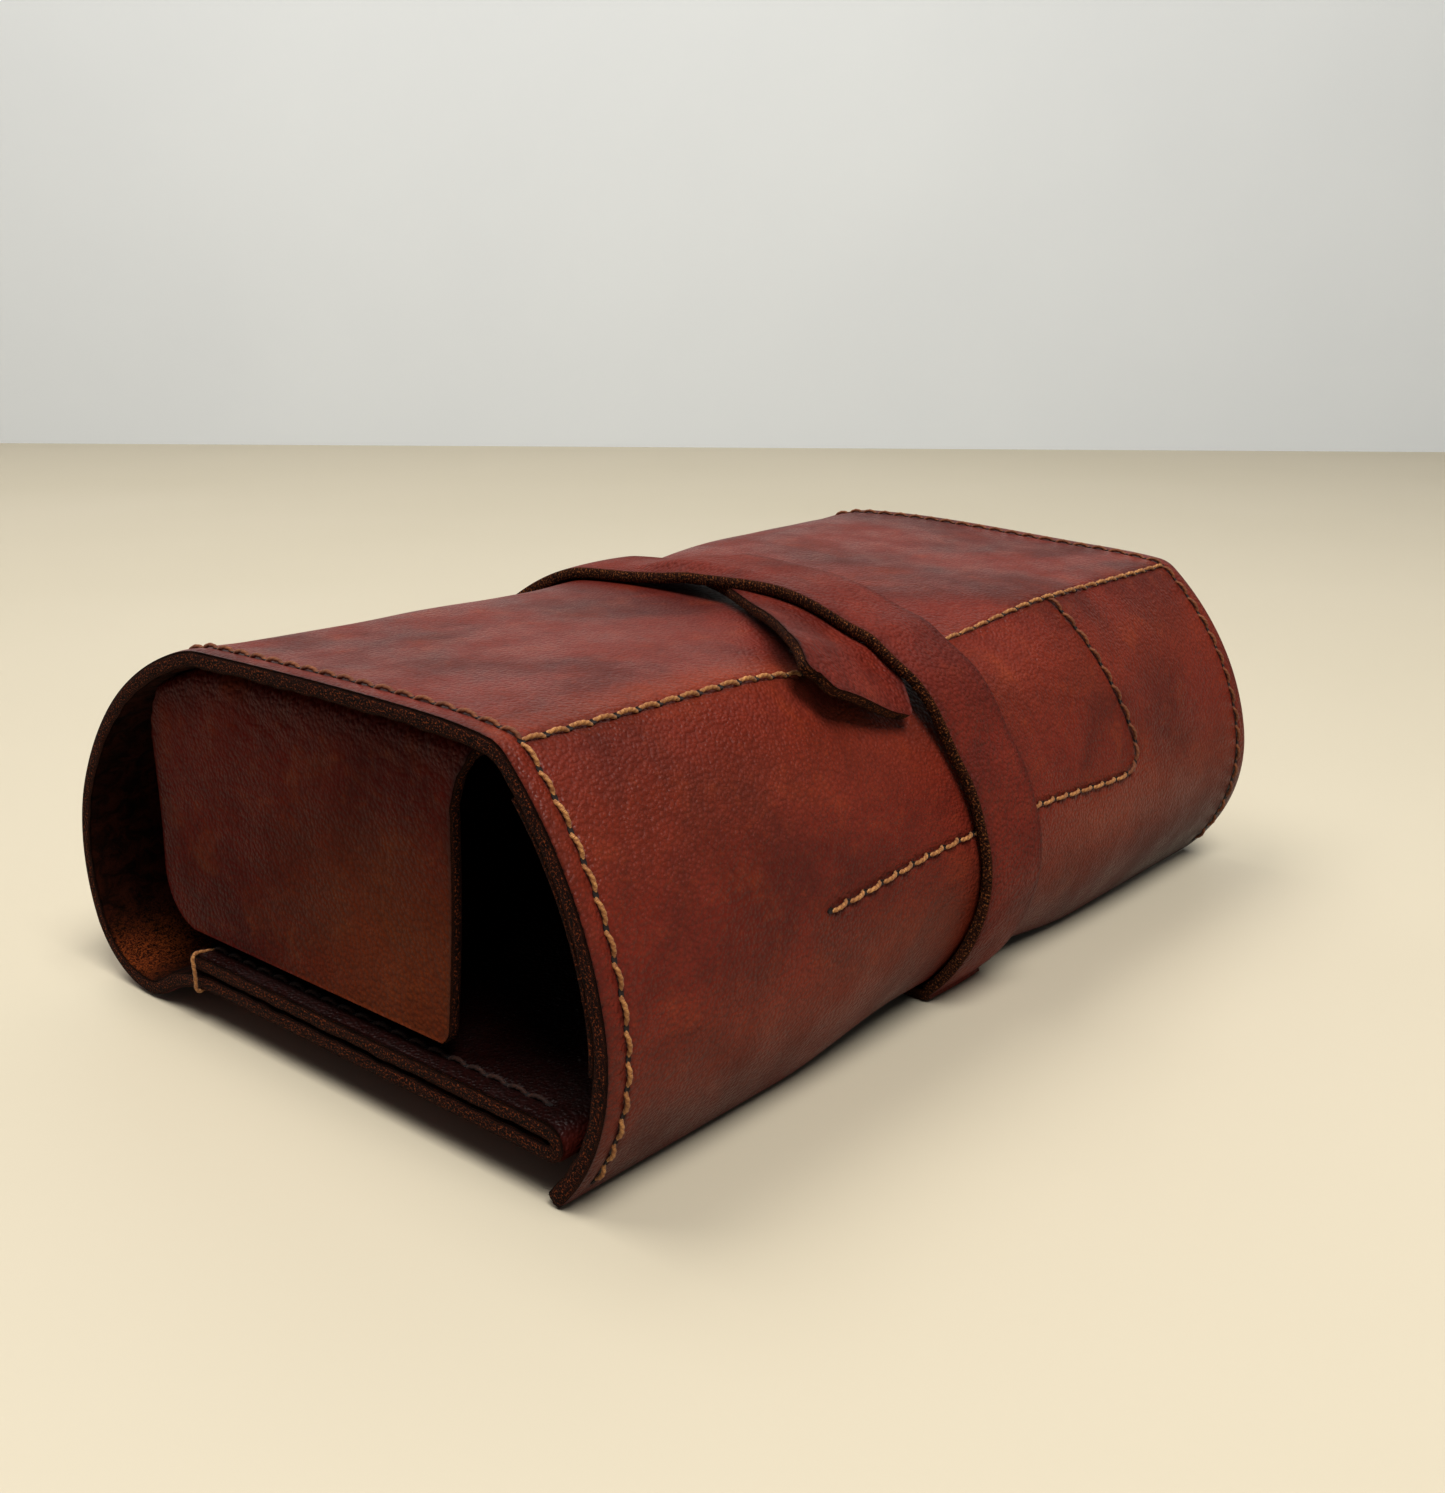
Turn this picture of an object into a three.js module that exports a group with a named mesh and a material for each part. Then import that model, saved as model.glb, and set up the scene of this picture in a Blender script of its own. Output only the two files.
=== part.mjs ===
// A rolled leather case for art brushes, closed by a wrapped strap.
// Millimetres. +X runs along the roll from its near end to its far end, the front wall faces -Y and
// +Z is up. The origin is on the table under the middle of the case.
//
// One long hide makes the case. Seen from the near end its grain side starts at a free tip on the
// table, climbs the bulging front wall, turns a tight corner onto the top, runs over a round back down
// to the table, returns under the case as the floor, and folds back on itself as the brush pocket.
import * as THREE from 'three'

// Driving dimensions
const LENGTH = 221
const HIDE = 3.4 // thickness of the case leather
const LINING = 1.2 // thickness of the leather sewn inside the front wall
const FLAP = 2.2 // thickness of the end flaps
const STRAP = 2.6 // thickness of the strap
const STRAP_WIDTH = 19
const GAP = 0.3 // clearance between pieces that touch on the real case
const SEAM_INSET = 4.5 // from a cut edge to its row of stitches
const THREAD_WIDTH = 0.9
const THREAD_HEIGHT = 0.5
const STRAP_GAP = THREAD_HEIGHT + 2 * GAP // the strap and its tail lie over the stitches
const FAR_SPREAD = 1.14 // how much wider the far end is than the near end
const FAR_LIFT = 2.5 // how much higher the back of the top is at the far end
const TOP_SAG = 2 // how far the top settles between the near end and the strap
const STRAP_MIDDLE = 109 // along the case, from its near end
const STRAP_SLIP = 7 // how far the strap has slipped towards the near end at the corner
const WAIST_RAISE = STRAP + STRAP_GAP // the strap lifts the leather it runs under

// The grain side of the hide at the near end: [arc length, heading where the arc ends]. Headings turn
// clockwise from 134 degrees, measured from +Y towards +Z.
const TIP = { y: -63.4, heading: 134 }
const ARCS = [
  [38, 81], // lower front wall, curling in to the tip
  [43.5, 45.5], // upper front wall
  [4.5, 9], // corner between front wall and top
  [13, 2],
  [62.5, -1], // top
  [7.5, -16],
  [52.5, -63], // round shoulder of the back
  [30.5, -108],
  [25, -183], // back corner on the table
  [6.5, -212], // step up to the floor
  [19, -180],
  [91.5, -180], // floor
]
const FLOOR_END = ARCS.reduce((sum, [length]) => sum + length, 0)
const FOLD_RADIUS = HIDE + GAP / 2
const FOLD_LENGTH = Math.PI * FOLD_RADIUS
const POCKET_DEPTH = 99
const HIDE_LENGTH = FLOOR_END + FOLD_LENGTH + POCKET_DEPTH
const PROFILE = [...ARCS, [FOLD_LENGTH, -360], [POCKET_DEPTH, -360]]

// Places along the grain side, in arc length from the tip
const CORNER = 84
const SEAM = 83 // the long seam lies on the corner
const BAND_START = 90.5 // where the end flaps are sewn under the top
const TOP_END = 172 // where the end flaps' seams stop on the top
const SHOULDER = 190
const BACK_CORNER = 273.3 // where the hide lies flat on the table
const POCKET_START = FLOOR_END + FOLD_LENGTH

const smooth = (from, to, value) => THREE.MathUtils.smoothstep(value, from, to)
const bell = (offset, width) => Math.exp(-((offset / width) ** 2))
const range = (from, to, count) => {
  return Array.from({ length: count + 1 }, (_, i) => THREE.MathUtils.lerp(from, to, i / count))
}

// The undeformed profile at arc length s: a point and the heading there.
function profileAt(s) {
  let y = TIP.y
  let z = 0
  let heading = THREE.MathUtils.degToRad(TIP.heading)
  let left = s
  for (const [length, endDegrees] of PROFILE) {
    const endHeading = THREE.MathUtils.degToRad(endDegrees)
    const step = Math.min(left, length)
    const turn = (endHeading - heading) * (step / length)
    const chord = Math.abs(turn) < 1e-9 ? step : (step * Math.sin(turn / 2)) / (turn / 2)
    y += chord * Math.cos(heading + turn / 2)
    z += chord * Math.sin(heading + turn / 2)
    heading += turn
    left -= step
    if (left <= 0) break
    heading = endHeading
  }
  return { y, z, heading }
}

// The middle of the strap, which has slipped along the case where it crosses the corner.
const strapMiddleAt = (s) => STRAP_MIDDLE - STRAP_SLIP * bell(s - CORNER, 26)

// 1 under the strap, fading to 0 over the leather on both sides of it.
function waistAt(x) {
  const beyond = Math.abs(x - STRAP_MIDDLE + STRAP_SLIP / 2) - (STRAP_WIDTH + STRAP_SLIP) / 2 - 1
  return 1 - smooth(0, 40, beyond)
}

// How far the strap presses the leather in, along the profile.
function pinchAt(s) {
  const wrapped = smooth(20, 60, s) * (1 - smooth(225, 262, s))
  return wrapped * (1.5 + 3.5 * bell(s - CORNER, 13) + 2 * bell(s - SHOULDER, 26))
}

// A point on the grain side at x along the case and s along the profile, lifted off it along the
// section's outward normal. Negative lifts go into the leather.
function skin(x, s, lift = 0) {
  const { y, z, heading } = profileAt(THREE.MathUtils.clamp(s, 0, HIDE_LENGTH))
  const spread = THREE.MathUtils.lerp(1, FAR_SPREAD, x / LENGTH)
  const waist = waistAt(x)
  const backOfTop = smooth(60, 76, z) * smooth(-45, 20, y)
  const settled = FAR_LIFT * (x / LENGTH) - TOP_SAG * bell(x - 45, 35)
  const raised = z + WAIST_RAISE * waist * (1 - smooth(16, 60, z)) + settled * backOfTop
  const outward = lift - pinchAt(s) * waist
  const normalY = -Math.sin(heading)
  const normalZ = Math.cos(heading)
  return new THREE.Vector3(x - LENGTH / 2, y * spread + outward * normalY, raised + outward * normalZ)
}

// Arc lengths that follow the profile closely where it turns and loosely where it is flat.
function profileStations(from, to) {
  const stations = [from]
  let start = 0
  let heading = TIP.heading
  for (const [length, endHeading] of PROFILE) {
    const count = Math.max(1, Math.ceil(Math.abs(endHeading - heading) / 7), Math.ceil(length / 18))
    for (const s of range(start, start + length, count)) {
      if (s > from + 0.5 && s < to - 0.5 && s > stations.at(-1) + 0.5) stations.push(s)
    }
    start += length
    heading = endHeading
  }
  return [...stations, to]
}

// A closed body between two grids of points, outer(i, j) and inner(i, j). With wrap, j closes on
// itself and the body is a ring.
function slab(rows, cols, outer, inner, wrap = false) {
  const points = []
  for (const face of [outer, inner]) {
    for (let i = 0; i < rows; i++) {
      for (let j = 0; j < cols; j++) points.push(face(i, j))
    }
  }
  const top = (i, j) => i * cols + (j % cols)
  const bottom = (i, j) => rows * cols + top(i, j)
  const triangles = []
  const quad = (a, b, c, d) => triangles.push(a, b, c, a, c, d)
  const lastCol = wrap ? cols : cols - 1
  for (let i = 0; i < rows - 1; i++) {
    for (let j = 0; j < lastCol; j++) {
      quad(top(i, j), top(i + 1, j), top(i + 1, j + 1), top(i, j + 1))
      quad(bottom(i, j), bottom(i, j + 1), bottom(i + 1, j + 1), bottom(i + 1, j))
    }
    if (!wrap) {
      quad(top(i, 0), bottom(i, 0), bottom(i + 1, 0), top(i + 1, 0))
      quad(top(i, lastCol), top(i + 1, lastCol), bottom(i + 1, lastCol), bottom(i, lastCol))
    }
  }
  for (let j = 0; j < lastCol; j++) {
    quad(top(0, j), top(0, j + 1), bottom(0, j + 1), bottom(0, j))
    quad(top(rows - 1, j), bottom(rows - 1, j), bottom(rows - 1, j + 1), top(rows - 1, j + 1))
  }
  return facingOut(points, triangles)
}

// Turns the triangles round if the body they close has its faces pointing in.
function facingOut(points, triangles) {
  let volume = 0
  for (let t = 0; t < triangles.length; t += 3) {
    const [a, b, c] = [points[triangles[t]], points[triangles[t + 1]], points[triangles[t + 2]]]
    volume += a.dot(new THREE.Vector3().crossVectors(b, c))
  }
  if (volume < 0) triangles.reverse()
  const geometry = new THREE.BufferGeometry().setFromPoints(points)
  geometry.setIndex(triangles)
  return geometry
}

// A sheet of leather lying on the profile, from x to x and from s to s, between two lifts.
function sheet(xs, stations, lowLift, highLift) {
  const at = (lift) => (i, j) => skin(xs[i], stations[j], lift)
  return slab(xs.length, stations.length, at(highLift), at(lowLift))
}

// A strip of constant width along a path of [x, s] points on the skin.
function strip(path, width, lowLift, highLift) {
  const side = (i, j) => {
    const before = path[Math.max(i - 1, 0)]
    const after = path[Math.min(i + 1, path.length - 1)]
    const along = new THREE.Vector2(after[0] - before[0], after[1] - before[1]).normalize()
    const across = (j - 0.5) * width
    return [path[i][0] - across * along.y, path[i][1] + across * along.x]
  }
  const at = (lift) => (i, j) => {
    const [x, s] = side(i, j)
    return skin(x, s, lift)
  }
  return slab(path.length, 2, at(highLift), at(lowLift))
}

const thread = (path) => strip(path, THREAD_WIDTH, GAP, GAP + THREAD_HEIGHT)

const group = new THREE.Group()
function add(name, geometry, color, roughness) {
  const mesh = new THREE.Mesh(geometry, new THREE.MeshStandardMaterial({ color, roughness, metalness: 0 }))
  mesh.name = name
  group.add(mesh)
}

const LEATHER_COLOR = 0x6b2a1c
const STRAP_COLOR = 0x5c2418
const LINING_COLOR = 0x4a2014
const THREAD_COLOR = 0xb08a5a

// The hide: front wall, top, back, floor, fold and brush pocket in one piece
const CASE_STATIONS = [0, 16, 32, 48, 60, 70, 80, 90, 105, 119, 128, 138, 150, 165, 182, 202, LENGTH]
add('outer_panel', sheet(CASE_STATIONS, profileStations(0, HIDE_LENGTH), -HIDE, 0), LEATHER_COLOR, 0.5)

// The thin leather sewn inside the front wall as a slip pocket
const LINING_LIFT = -HIDE - GAP
const PANEL_INSET = 0.8
const liningStations = CASE_STATIONS.map((x) => THREE.MathUtils.clamp(x, PANEL_INSET, LENGTH - PANEL_INSET))
const lining = sheet(liningStations, profileStations(28, CORNER - 8), LINING_LIFT - LINING, LINING_LIFT)
add('front_pocket', lining, LINING_COLOR, 0.7)

// The end flaps: a band sewn under the top, and the flap that hangs from it over the open end
const HINGE_INSET = 3.6
const BAND_DEPTH = 11
const FLAP_TOP = 67.5
const FLAP_BOTTOM = 18

// One flap's outline in Y and Z: it flares towards its fold, and has one round bottom corner.
function flapShape() {
  const front = -36.5
  const back = 48.5
  const smallRadius = 3
  const largeRadius = 13
  const shape = new THREE.Shape()
  shape.moveTo(-42, FLAP_TOP)
  shape.quadraticCurveTo(-40, FLAP_TOP - 4, -39, FLAP_TOP - 12)
  shape.lineTo(front, FLAP_BOTTOM + smallRadius)
  shape.quadraticCurveTo(front, FLAP_BOTTOM, front + smallRadius, FLAP_BOTTOM)
  shape.lineTo(back - largeRadius, FLAP_BOTTOM)
  shape.quadraticCurveTo(back, FLAP_BOTTOM, back, FLAP_BOTTOM + largeRadius)
  shape.lineTo(back, FLAP_TOP - 14)
  shape.quadraticCurveTo(back - 1, FLAP_TOP - 9, 38, FLAP_TOP)
  return shape
}

// Extrudes a Y and Z outline along +X, centred on x.
function plate(shape, x, thickness) {
  const options = { depth: thickness, bevelEnabled: false, curveSegments: 5 }
  const [xAxis, yAxis, zAxis] = [[1, 0, 0], [0, 1, 0], [0, 0, 1]].map((v) => new THREE.Vector3(...v))
  const geometry = new THREE.ExtrudeGeometry(shape, options)
  geometry.applyMatrix4(new THREE.Matrix4().makeBasis(yAxis, zAxis, xAxis))
  return geometry.translate(x - thickness / 2, 0, 0)
}

for (const [end, side] of [['near', -1], ['far', 1]]) {
  const fromNear = (inset) => (side < 0 ? inset : LENGTH - inset)
  const bandStart = HINGE_INSET + FLAP / 2 + GAP
  const bandXs = range(fromNear(bandStart), fromNear(bandStart + BAND_DEPTH), 2)
  const band = sheet(bandXs, profileStations(BAND_START, TOP_END), LINING_LIFT - FLAP, LINING_LIFT)
  add(`${end}_flap_band`, band, LEATHER_COLOR, 0.5)
  add(`${end}_flap`, plate(flapShape(), side * (LENGTH / 2 - HINGE_INSET), FLAP), LEATHER_COLOR, 0.5)
}

// The strap: a loop drawn tight round the case, lifted where its own tail is tucked under it
const TAIL_LIFT = STRAP + 2 * GAP
const tailLiftAt = (s) => TAIL_LIFT * smooth(56, 75, s) * (1 - smooth(131, 158, s))

// The loop at one offset across it: round the tip, over the case to its back corner, then flat back
// to the start.
function strapRing(offset, lift) {
  const tip = skin(strapMiddleAt(0) + offset, 0)
  const startAngle = Math.PI / 2 + THREE.MathUtils.degToRad(TIP.heading)
  const round = range(-Math.PI / 2, startAngle - 2 * Math.PI, 5).slice(0, -1)
  const roundTip = round.map((angle) => {
    return new THREE.Vector3(tip.x, tip.y + lift * Math.cos(angle), tip.z + lift * Math.sin(angle))
  })
  const over = profileStations(0, BACK_CORNER).map((s) => {
    return skin(strapMiddleAt(s) + offset, s, lift + tailLiftAt(s))
  })
  over[over.length - 1].z = roundTip[0].z
  return [...roundTip, ...over]
}

const strapOffsets = range(-STRAP_WIDTH / 2, STRAP_WIDTH / 2, 2)
const strapOuter = strapOffsets.map((offset) => strapRing(offset, STRAP_GAP + STRAP))
const strapInner = strapOffsets.map((offset) => strapRing(offset, STRAP_GAP))
const ringCount = strapOuter[0].length
const strapLoop = slab(3, ringCount, (i, j) => strapOuter[i][j], (i, j) => strapInner[i][j], true)
add('strap', strapLoop, STRAP_COLOR, 0.6)

// The strap's tail: it runs under the loop, turns towards the near end and comes out over the corner.
const TAIL_PATH = new THREE.CubicBezierCurve(
  new THREE.Vector2(STRAP_MIDDLE + 2, 130),
  new THREE.Vector2(STRAP_MIDDLE, 120),
  new THREE.Vector2(95.5, 96),
  new THREE.Vector2(75.6, 71.9),
)
const TAIL_NARROW = 14
const TAIL_WIDE = 29
const TAIL_STEPS = 66
const TAIL_SLANT = 4.6 // the tail's end is cut on a slant
const TAIL_CORNER = 3.5 // how far its outer corner is rounded back
const TAIL_DROOP = 3.5 // how far the free end stands off the front wall

// Where a point of the tail lies, at u along it, from 0 to 1, and v across it, from -1 to 1.
function tailPlace(u, v) {
  const middle = TAIL_PATH.getPointAt(u)
  const along = TAIL_PATH.getTangentAt(u)
  const across = (v * THREE.MathUtils.lerp(TAIL_NARROW, TAIL_WIDE, u)) / 2
  const end = -TAIL_SLANT * v - TAIL_CORNER * smooth(0.5, 1, -v)
  const slant = end * smooth(0.5, 1, u)
  return [middle.x - across * along.y + slant * along.x, middle.y + across * along.x + slant * along.y]
}

// The tail folds along a straight line just outside the loop's near edge. This is how far past it a
// place lies.
const TAIL_FOLD = STRAP_MIDDLE - STRAP_SLIP - STRAP_WIDTH / 2 - GAP
const TAIL_FOLD_SLOPE = 0.08
const pastFold = (x, s) => TAIL_FOLD + TAIL_FOLD_SLOPE * (s - CORNER) - x

// The free part of the tail, or the part held by the loop, in lines of places along its length.
function tailPart(free) {
  const clear = free ? GAP : 0
  const lines = range(-1, 1, 14).map((v) => {
    const edge = range(0, 1, 500).find((u) => pastFold(...tailPlace(u, v)) > clear) ?? 1
    return range(free ? edge : 0, free ? 1 : edge, TAIL_STEPS).map((u) => tailPlace(u, v))
  })
  const at = (lift) => (i, j) => {
    const [x, s] = lines[i][j]
    return skin(x, s, lift + TAIL_DROOP * smooth(0, 22, pastFold(x, s)))
  }
  return slab(lines.length, TAIL_STEPS + 1, at(STRAP_GAP + STRAP), at(STRAP_GAP))
}

add('strap_tail_root', tailPart(false), STRAP_COLOR, 0.6)
add('strap_tail', tailPart(true), STRAP_COLOR, 0.6)

// Waxed thread: one length for each row of stitches
const lengthwise = (s, from, to) => thread(range(from, to, 14).map((x) => [x, s]))
const around = (x, from, to) => thread(profileStations(from, to).map((s) => [x, s]))
const ROW_GAP = 1.2 // between rows that meet at a corner
const addThread = (name, geometry) => add(`thread_${name}`, geometry, THREAD_COLOR, 0.8)

for (const [end, x] of [['near', SEAM_INSET], ['far', LENGTH - SEAM_INSET]]) {
  addThread(`${end}_front`, around(x, 6, SEAM - ROW_GAP))
  addThread(`${end}_top`, around(x, SEAM + ROW_GAP, TOP_END))
  addThread(`${end}_pocket`, around(x, POCKET_START + 4, HIDE_LENGTH - 2))
}
addThread('long_seam', lengthwise(SEAM, SEAM_INSET + ROW_GAP, LENGTH - SEAM_INSET - ROW_GAP))

// The slip pocket is closed by a row down from the long seam and a row along its bottom.
const SLIP_NEAR = 54
const SLIP_FAR = 167
const SLIP_BOTTOM = 40
const SLIP_SLANT = 7.5
const SLIP_CORNER = 6 // radius where the two rows meet
const slipSide = range(SEAM - ROW_GAP, SLIP_BOTTOM + SLIP_CORNER, 8).map((s) => {
  return [THREE.MathUtils.mapLinear(s, SLIP_BOTTOM, SEAM, SLIP_FAR, SLIP_FAR - SLIP_SLANT), s]
})
const slipCorner = range(0, Math.PI / 2, 5).slice(1).map((angle) => {
  const [x] = slipSide.at(-1)
  return [x - SLIP_CORNER * (1 - Math.cos(angle)), SLIP_BOTTOM + SLIP_CORNER * (1 - Math.sin(angle))]
})
addThread('slip_side', thread([...slipSide, ...slipCorner]))
addThread('slip_bottom', lengthwise(SLIP_BOTTOM, SLIP_NEAR, slipCorner.at(-1)[0] - ROW_GAP))

// A whipped loop of thread holds each end of the pocket's mouth round the cut edge.
const LOOP_DEPTH = 4
for (const [end, side] of [['near', -1], ['far', 1]]) {
  const x = side < 0 ? 0 : LENGTH
  const mouth = skin(x, HIDE_LENGTH - 3)
  const floor = skin(x, FLOOR_END - POCKET_DEPTH + 3)
  const high = mouth.z + GAP
  const low = floor.z - GAP
  const face = LENGTH / 2 + GAP
  const inside = LENGTH / 2 - LOOP_DEPTH
  const shape = new THREE.Shape()
  shape.moveTo(inside, high)
  shape.lineTo(face, high)
  shape.lineTo(face, low)
  shape.lineTo(inside, low)
  shape.lineTo(inside, low - THREAD_WIDTH)
  shape.lineTo(face + THREAD_WIDTH, low - THREAD_WIDTH)
  shape.lineTo(face + THREAD_WIDTH, high + THREAD_WIDTH)
  shape.lineTo(inside, high + THREAD_WIDTH)
  const loop = new THREE.ExtrudeGeometry(shape, { depth: THREAD_WIDTH, bevelEnabled: false })
  loop.rotateX(Math.PI / 2)
  loop.rotateZ(side < 0 ? Math.PI : 0)
  loop.translate(0, mouth.y, 0)
  addThread(`${end}_loop`, loop)
}

export default group
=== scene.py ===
"""Looks of the rolled leather brush case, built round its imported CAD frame.

The CAD model is one long hide that follows a profile: a chain of arcs seen from the near end. The same
profile is written here again, so every leather piece is a fine mesh between two lifts off the hide's
grain side. Lengths are in millimetres, and MM turns them into Blender's metres when a mesh is made.
"""
import math

import bpy
import numpy as np
from mathutils import Matrix, Vector


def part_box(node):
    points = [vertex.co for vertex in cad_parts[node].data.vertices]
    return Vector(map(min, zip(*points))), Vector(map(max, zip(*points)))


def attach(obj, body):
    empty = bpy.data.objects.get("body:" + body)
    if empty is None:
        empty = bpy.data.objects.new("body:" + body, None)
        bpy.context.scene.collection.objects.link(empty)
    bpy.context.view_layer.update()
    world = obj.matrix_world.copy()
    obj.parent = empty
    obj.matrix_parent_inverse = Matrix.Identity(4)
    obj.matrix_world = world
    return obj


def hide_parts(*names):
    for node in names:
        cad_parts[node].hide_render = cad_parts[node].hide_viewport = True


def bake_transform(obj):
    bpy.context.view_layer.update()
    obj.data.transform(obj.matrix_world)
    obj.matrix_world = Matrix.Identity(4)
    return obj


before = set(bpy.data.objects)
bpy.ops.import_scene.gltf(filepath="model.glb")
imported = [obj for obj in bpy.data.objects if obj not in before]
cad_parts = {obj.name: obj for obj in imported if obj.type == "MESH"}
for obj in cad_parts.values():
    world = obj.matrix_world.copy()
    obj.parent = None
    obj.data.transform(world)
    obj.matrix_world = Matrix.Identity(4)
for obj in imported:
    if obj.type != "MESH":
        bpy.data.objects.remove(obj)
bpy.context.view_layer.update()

MM = 0.001
UV_TILE = 100  # millimetres of leather to one unit of every UV map


# ---- camera

def make_camera():
    """The camera from its place and its three axes, in the case's frame."""
    right = Vector((0.63429, -0.77307, 0.00597))
    down = Vector((-0.21638, -0.18494, -0.95863))
    forward = Vector((0.74219, 0.60676, -0.28459))
    camera = bpy.data.objects.new("camera", bpy.data.cameras.new("camera"))
    bpy.context.scene.collection.objects.link(camera)
    turn = Matrix((right, -down, -forward)).transposed().to_4x4()
    place = (-0.25297, -0.21283, 0.13692)
    camera.matrix_world = Matrix.Translation(place) @ turn
    camera.data.lens = 36.23
    camera.data.sensor_width = 36
    camera.data.clip_start = 0.01
    bpy.context.scene.camera = camera


make_camera()


# ---- the profile, as in the CAD model

LENGTH = 221
HIDE = 3.4  # thickness of the case leather
LINING = 1.2  # thickness of the slip pocket inside the front wall
FLAP = 2.2  # thickness of the end flaps
STRAP = 2.6  # thickness of the strap
STRAP_WIDTH = 19
GAP = 0.3  # clearance between pieces that touch
SEAM_INSET = 4.5  # from a cut edge to its row of stitches
STRAP_GAP = 1.1  # between the hide and the strap, which lies over stitches
FAR_SPREAD = 1.14  # how much wider the far end is than the near end
FAR_LIFT = 2.5  # how much higher the back of the top is at the far end
TOP_SAG = 2  # how far the top settles between the near end and the strap
STRAP_MIDDLE = 109  # along the case, from its near end
STRAP_SLIP = 7  # how far the strap has slipped towards the near end at the corner
TIP_Y = -63.4
TIP_HEADING = 134
POCKET_DEPTH = 99
# Each arc's length, and its heading in degrees where it ends. Headings turn from +Y towards +Z.
ARCS = [
    (38, 81),  # lower front wall
    (43.5, 45.5),  # upper front wall
    (4.5, 9),  # corner between front wall and top
    (13, 2),
    (62.5, -1),  # top
    (7.5, -16),
    (52.5, -63),  # round shoulder of the back
    (30.5, -108),
    (25, -183),  # back corner on the table
    (6.5, -212),  # step up to the floor
    (19, -180),
    (91.5, -180),  # floor
    (math.pi * (HIDE + GAP / 2), -360),  # fold at the front of the floor
    (POCKET_DEPTH, -360),
]
ENDS = (("near", -1), ("far", 1))  # each end's name, and its side of the case's middle
STARTS = np.cumsum([0] + [length for length, _ in ARCS])
HEADINGS = np.radians([TIP_HEADING] + [heading for _, heading in ARCS])
FLOOR_END, POCKET_START, HIDE_LENGTH = STARTS[-3:]

# Places along the profile, in arc length from the tip
CORNER = 84
SEAM = 83  # the long seam lies on the corner
BAND_START = 90.5  # where the end flaps are sewn under the top
TOP_END = 172  # where the end flaps' seams stop on the top
SHOULDER = 190
BACK_CORNER = 273.3  # where the hide lies flat on the table


def smooth(low, high, value):
    """0 at low and 1 at high, with an even start and end. low may be the larger of the two."""
    t = np.clip((np.asarray(value, float) - low) / (high - low), 0, 1)
    return t * t * (3 - 2 * t)


def bell(offset, width):
    return np.exp(-((offset / width) ** 2))


def lerp(a, b, t):
    return a + (b - a) * t


def chord(length, turn):
    """How far the end of an arc is from its start."""
    half = np.where(np.abs(turn) < 1e-9, 1e-9, turn / 2)
    return length * np.sin(half) / half


def arc_starts():
    """Y and Z where each arc starts, and where the last one ends."""
    y, z = TIP_Y, 0.0
    points = [(y, z)]
    for k in range(len(ARCS)):
        turn = HEADINGS[k + 1] - HEADINGS[k]
        step = chord(ARCS[k][0], turn)
        y += step * math.cos(HEADINGS[k] + turn / 2)
        z += step * math.sin(HEADINGS[k] + turn / 2)
        points.append((y, z))
    return np.array(points)


ARC_POINTS = arc_starts()


def profile(s):
    """Y, Z and heading at arc lengths s along the hide's grain side."""
    s = np.clip(s, 0, HIDE_LENGTH)
    k = np.clip(np.searchsorted(STARTS, s, side="right") - 1, 0, len(ARCS) - 1)
    length = STARTS[k + 1] - STARTS[k]
    step = s - STARTS[k]
    turn = (HEADINGS[k + 1] - HEADINGS[k]) * step / length
    reach = chord(step, turn)
    y = ARC_POINTS[k, 0] + reach * np.cos(HEADINGS[k] + turn / 2)
    z = ARC_POINTS[k, 1] + reach * np.sin(HEADINGS[k] + turn / 2)
    return y, z, HEADINGS[k] + turn


def strap_middle(s):
    """X of the strap's middle, which has slipped along the case where it crosses the corner."""
    return STRAP_MIDDLE - STRAP_SLIP * bell(s - CORNER, 26)


def waist(x):
    """1 under the strap, fading to 0 over the leather on both sides of it."""
    beyond = np.abs(x - STRAP_MIDDLE + STRAP_SLIP / 2) - (STRAP_WIDTH + STRAP_SLIP) / 2 - 1
    return 1 - smooth(0, 40, beyond)


def pinch(s):
    """How far the strap presses the leather in, along the profile."""
    wrapped = smooth(20, 60, s) * (1 - smooth(225, 262, s))
    return wrapped * (1.5 + 3.5 * bell(s - CORNER, 13) + 2 * bell(s - SHOULDER, 26))


def skin(x, s, lift=0.0):
    """Points on the hide's grain side at x along the case and s along the profile, lifted off it."""
    x, s, lift = np.broadcast_arrays(np.asarray(x, float), np.asarray(s, float), np.asarray(lift, float))
    y, z, heading = profile(s)
    spread = lerp(1, FAR_SPREAD, x / LENGTH)
    back_of_top = smooth(60, 76, z) * smooth(-45, 20, y)
    settled = FAR_LIFT * (x / LENGTH) - TOP_SAG * bell(x - 45, 35)
    raised = z + (STRAP + STRAP_GAP) * waist(x) * (1 - smooth(16, 60, z)) + settled * back_of_top
    outward = lift - pinch(s) * waist(x)
    return np.stack([
        x - LENGTH / 2,
        y * spread - outward * np.sin(heading),
        raised + outward * np.cos(heading),
    ], axis=-1)


# ---- mesh helpers

def ripples(x, s, size, count, seed):
    """Gentle random waves, about 1 high, from a few sines of about this size in millimetres."""
    waves = np.random.default_rng(seed)
    total = np.zeros(np.broadcast(x, s).shape)
    for _ in range(count):
        angle = waves.uniform(0, math.pi)
        length = size * waves.uniform(0.6, 1.6)
        phase = waves.uniform(0, 2 * math.pi)
        total += np.sin((x * math.cos(angle) + s * math.sin(angle)) * 2 * math.pi / length + phase)
    return total / math.sqrt(count)


def travelled(points):
    """How far along a line of points each of them is."""
    return np.concatenate([[0], np.cumsum(np.linalg.norm(np.diff(points, axis=0), axis=1))])


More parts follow.
